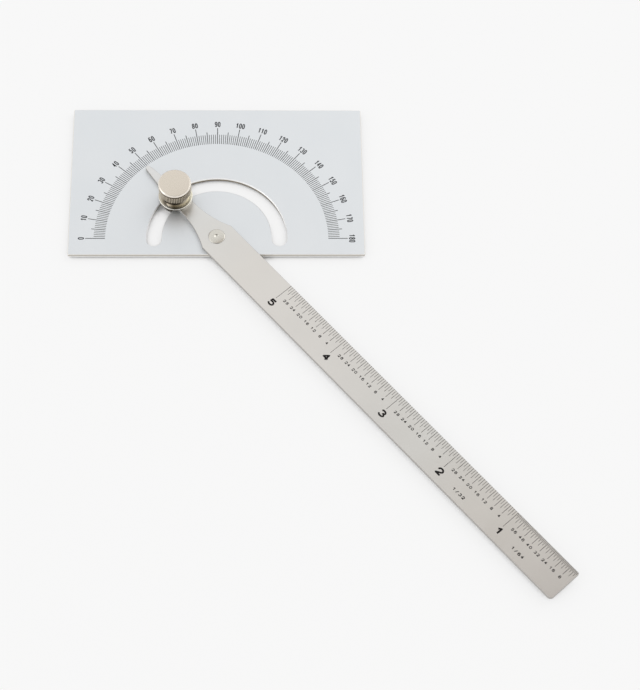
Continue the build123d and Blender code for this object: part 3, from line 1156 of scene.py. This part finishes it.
def rivet_profile():
    """A low crowned head with a centre mark, the shank and the staked foot."""
    top = rivet_high.z / MM
    bottom = rivet_low.z / MM
    foot_radius = (rivet_high.x - rivet_low.x) / 2 / MM
    head_bottom = top - RIVET_HEAD_THICKNESS_MM
    upper_edge, lower_edge = RIVET_HEAD_EDGE_DEPTHS_MM
    crown = [(radius, top - depth, rounding) for radius, depth, rounding in RIVET_CROWN_MM]
    foot = [(foot_radius - inward, bottom + height, rounding) for inward, height, rounding in RIVET_FOOT_MM]
    return [
        *crown,
        (RIVET_HEAD_RADIUS_MM - RIVET_HEAD_EDGE_IN_MM, top - upper_edge, 0.1),
        (RIVET_HEAD_RADIUS_MM, top - lower_edge, 0.06),
        (RIVET_HEAD_RADIUS_MM, head_bottom, 0.05),
        (RIVET_SHANK_RADIUS_MM, head_bottom, 0.05),
        (RIVET_SHANK_RADIUS_MM, bottom + RIVET_FOOT_THICKNESS_MM, 0.05),
        *foot,
        (RIVET_FOOT_FLAT_RADIUS_MM, bottom, 0.3),
        (0.0, bottom + RIVET_FOOT_HOLLOW_MM, 0),
    ]


KNURL_SOCKETS = [
    ("Ribs", "NodeSocketInt"),
    ("Rib Circle", "NodeSocketFloat"),
    ("Rib Thickness", "NodeSocketFloat"),
    ("Rib Height", "NodeSocketFloat"),
    ("End Taper", "NodeSocketFloat"),
    ("Centre", "NodeSocketVector"),
]


def knurl_tree():
    """Straight knurl: one rounded rib with tapered ends, repeated round the band."""
    tree, inputs, group_out = open_tree("knurl_ribs", KNURL_SOCKETS)
    half = math_node(tree, "MULTIPLY", inputs["Rib Height"], 0.5)
    below = math_node(tree, "MULTIPLY", half, -1.0)
    low = add_node(tree, "ShaderNodeCombineXYZ", {"Z": below}).outputs[0]
    high = add_node(tree, "ShaderNodeCombineXYZ", {"Z": half}).outputs[0]
    line = add_node(tree, "GeometryNodeCurvePrimitiveLine", {"Start": low, "End": high}).outputs[0]
    wires = {"Curve": line, "Count": RIB_LENGTH_POINTS}
    cut = add_node(tree, "GeometryNodeResampleCurve", wires).outputs[0]
    position = add_node(tree, "GeometryNodeInputPosition").outputs[0]
    from_middle = math_node(tree, "ABSOLUTE", axis_part(tree, position, "Z"))
    from_end = math_node(tree, "SUBTRACT", half, from_middle)
    taper = remap(tree, from_end, 0.0, inputs["End Taper"], RIB_END_SHARE, 1.0, smooth=True)
    wires = {"Resolution": RIB_RING_POINTS}
    ring = add_node(tree, "GeometryNodeCurvePrimitiveCircle", wires, mode="RADIUS")
    tree.links.new(inputs["Rib Thickness"], ring.inputs["Radius"])
    wires = {"Curve": cut, "Profile Curve": ring.outputs[0], "Scale": taper, "Fill Caps": True}
    rib = add_node(tree, "GeometryNodeCurveToMesh", wires).outputs[0]
    wires = {"Vertices": inputs["Ribs"], "Radius": inputs["Rib Circle"]}
    circle = add_node(tree, "GeometryNodeMeshCircle", wires).outputs[0]
    wires = {"Points": circle, "Instance": rib}
    ribs = add_node(tree, "GeometryNodeInstanceOnPoints", wires).outputs[0]
    wires = {"Geometry": ribs, "Translation": inputs["Centre"]}
    moved = add_node(tree, "GeometryNodeTransform", wires).outputs[0]
    real = add_node(tree, "GeometryNodeRealizeInstances", {"Geometry": moved}).outputs[0]
    wires = {"Geometry": real, "Shade Smooth": True}
    shaded = add_node(tree, "GeometryNodeSetShadeSmooth", wires).outputs[0]
    close_tree(tree, group_out, shaded, nut_metal)
    return tree


washer_mesh = turned("washer_turned", washer_profile(), nut_axis, washer_metal)
stand_for("washer_turned", washer_mesh, "arm", "clamp_washer")

nut_mesh = turned("thumb_nut_turned", nut_profile(), nut_axis, nut_metal)
stand_for("thumb_nut_turned", nut_mesh, "nut", "thumb_nut")

rib_radius_mm = KNURL_DEPTH_MM * KNURL_FILL
rib_height_mm = band_top_mm - band_bottom_mm - RIB_END_GAP_MM
knurl_values = {
    "Ribs": KNURL_RIBS,
    "Rib Circle": (nut_radius_mm - rib_radius_mm) * MM,
    "Rib Thickness": rib_radius_mm * MM,
    "Rib Height": rib_height_mm * MM,
    "End Taper": RIB_TAPER_MM * MM,
    "Centre": (nut_axis.x, nut_axis.y, (band_top_mm - rib_height_mm / 2) * MM),
}
knurl = grow(knurl_tree(), knurl_values, "thumb_nut_knurl", "nut")

rivet_mesh = turned("pivot_rivet_turned", rivet_profile(), Vector((0.0, 0.0, 0.0)), rivet_metal)
stand_for("pivot_rivet_turned", rivet_mesh, "plate", "pivot_rivet")

dress("scale_plate", plate_metal)
dress("blade", blade_metal)
dress("clamp_stud", stud_metal)


# Floor, light and camera


def lay_floor():
    """A wide sheet of paper just under the part."""
    level = cad_box[0].z
    corners = [
        (-FLOOR_HALF, -FLOOR_HALF, level),
        (FLOOR_HALF, -FLOOR_HALF, level),
        (FLOOR_HALF, FLOOR_HALF, level),
        (-FLOOR_HALF, FLOOR_HALF, level),
    ]
    mesh = bpy.data.meshes.new("floor")
    mesh.from_pydata(corners, [], [(0, 1, 2, 3)])
    paper, tree, shader = blank_material("floor_paper")
    shader.inputs["Base Color"].default_value = FLOOR_COLOUR
    shader.inputs["Roughness"].default_value = FLOOR_ROUGHNESS
    shader.inputs["Specular IOR Level"].default_value = 0.0
    ray = add_node(tree, "ShaderNodeLightPath").outputs
    seen = math_node(tree, "MAXIMUM", ray["Is Camera Ray"], ray["Is Glossy Ray"])
    seen = math_node(tree, "MAXIMUM", seen, ray["Is Transmission Ray"])
    wires = {"Distance": SKY_REACH_MM * MM}
    sky = add_node(tree, "ShaderNodeAmbientOcclusion", wires, samples=SKY_SAMPLES).outputs["AO"]
    openness = remap(tree, sky, *SKY_SPAN, 0.0, BACKDROP_SHARE, smooth=True)
    paleness = math_node(tree, "MULTIPLY", seen, openness)
    backdrop = add_node(tree, "ShaderNodeEmission", {"Color": BACKDROP_COLOUR, "Strength": 1.0})
    wires = {0: paleness, 1: shader.outputs[0], 2: backdrop.outputs[0]}
    mixed = add_node(tree, "ShaderNodeMixShader", wires).outputs[0]
    tree.links.new(mixed, tree.nodes["Material Output"].inputs["Surface"])
    mesh.materials.append(paper)
    floor = bpy.data.objects.new("floor", mesh)
    scene.collection.objects.link(floor)
    return floor


floor = lay_floor()

world = bpy.data.worlds.new("studio_room")
world.use_nodes = True
scene.world = world
room = world.node_tree
direction = coordinates(room, "Generated")
room_light = ROOM_COLOUR
for toward, starts, full, colour in ROOM_PATCHES:
    wires = {0: direction, 1: toward}
    near = add_node(room, "ShaderNodeVectorMath", wires, operation="DOT_PRODUCT").outputs["Value"]
    room_light = tint(room, remap(room, near, starts, full, smooth=True), room_light, colour)
room.links.new(room_light, room.nodes["Background"].inputs["Color"])

for name, place, power in LAMPS:
    lamp = bpy.data.lights.new(name, "AREA")
    lamp.shape = "SQUARE"
    lamp.size = LAMP_SIZE
    lamp.energy = power
    holder = bpy.data.objects.new(name, lamp)
    holder.location = place
    holder.rotation_mode = "QUATERNION"
    holder.rotation_quaternion = (Vector(place) - Vector(LAMP_AIM)).to_track_quat("Z", "Y")
    scene.collection.objects.link(holder)

camera_data = bpy.data.cameras.new("camera")
camera_data.lens = CAMERA_LENS
camera_data.sensor_width = CAMERA_SENSOR
camera_data.clip_start, camera_data.clip_end = CAMERA_CLIP
camera = bpy.data.objects.new("camera", camera_data)
scene.collection.objects.link(camera)
scene.camera = camera
back = Vector(
    (
        math.sin(CAMERA_AZIMUTH) * math.cos(CAMERA_ELEVATION),
        -math.cos(CAMERA_AZIMUTH) * math.cos(CAMERA_ELEVATION),
        math.sin(CAMERA_ELEVATION),
    )
)
roll = Matrix.Rotation(CAMERA_ROLL, 3, "Z").to_quaternion()
camera.rotation_mode = "QUATERNION"
camera.location = CAMERA_TARGET + back * CAMERA_DISTANCE
camera.rotation_quaternion = (-back).to_track_quat("-Z", "Y") @ roll

scene.view_settings.view_transform = "Standard"
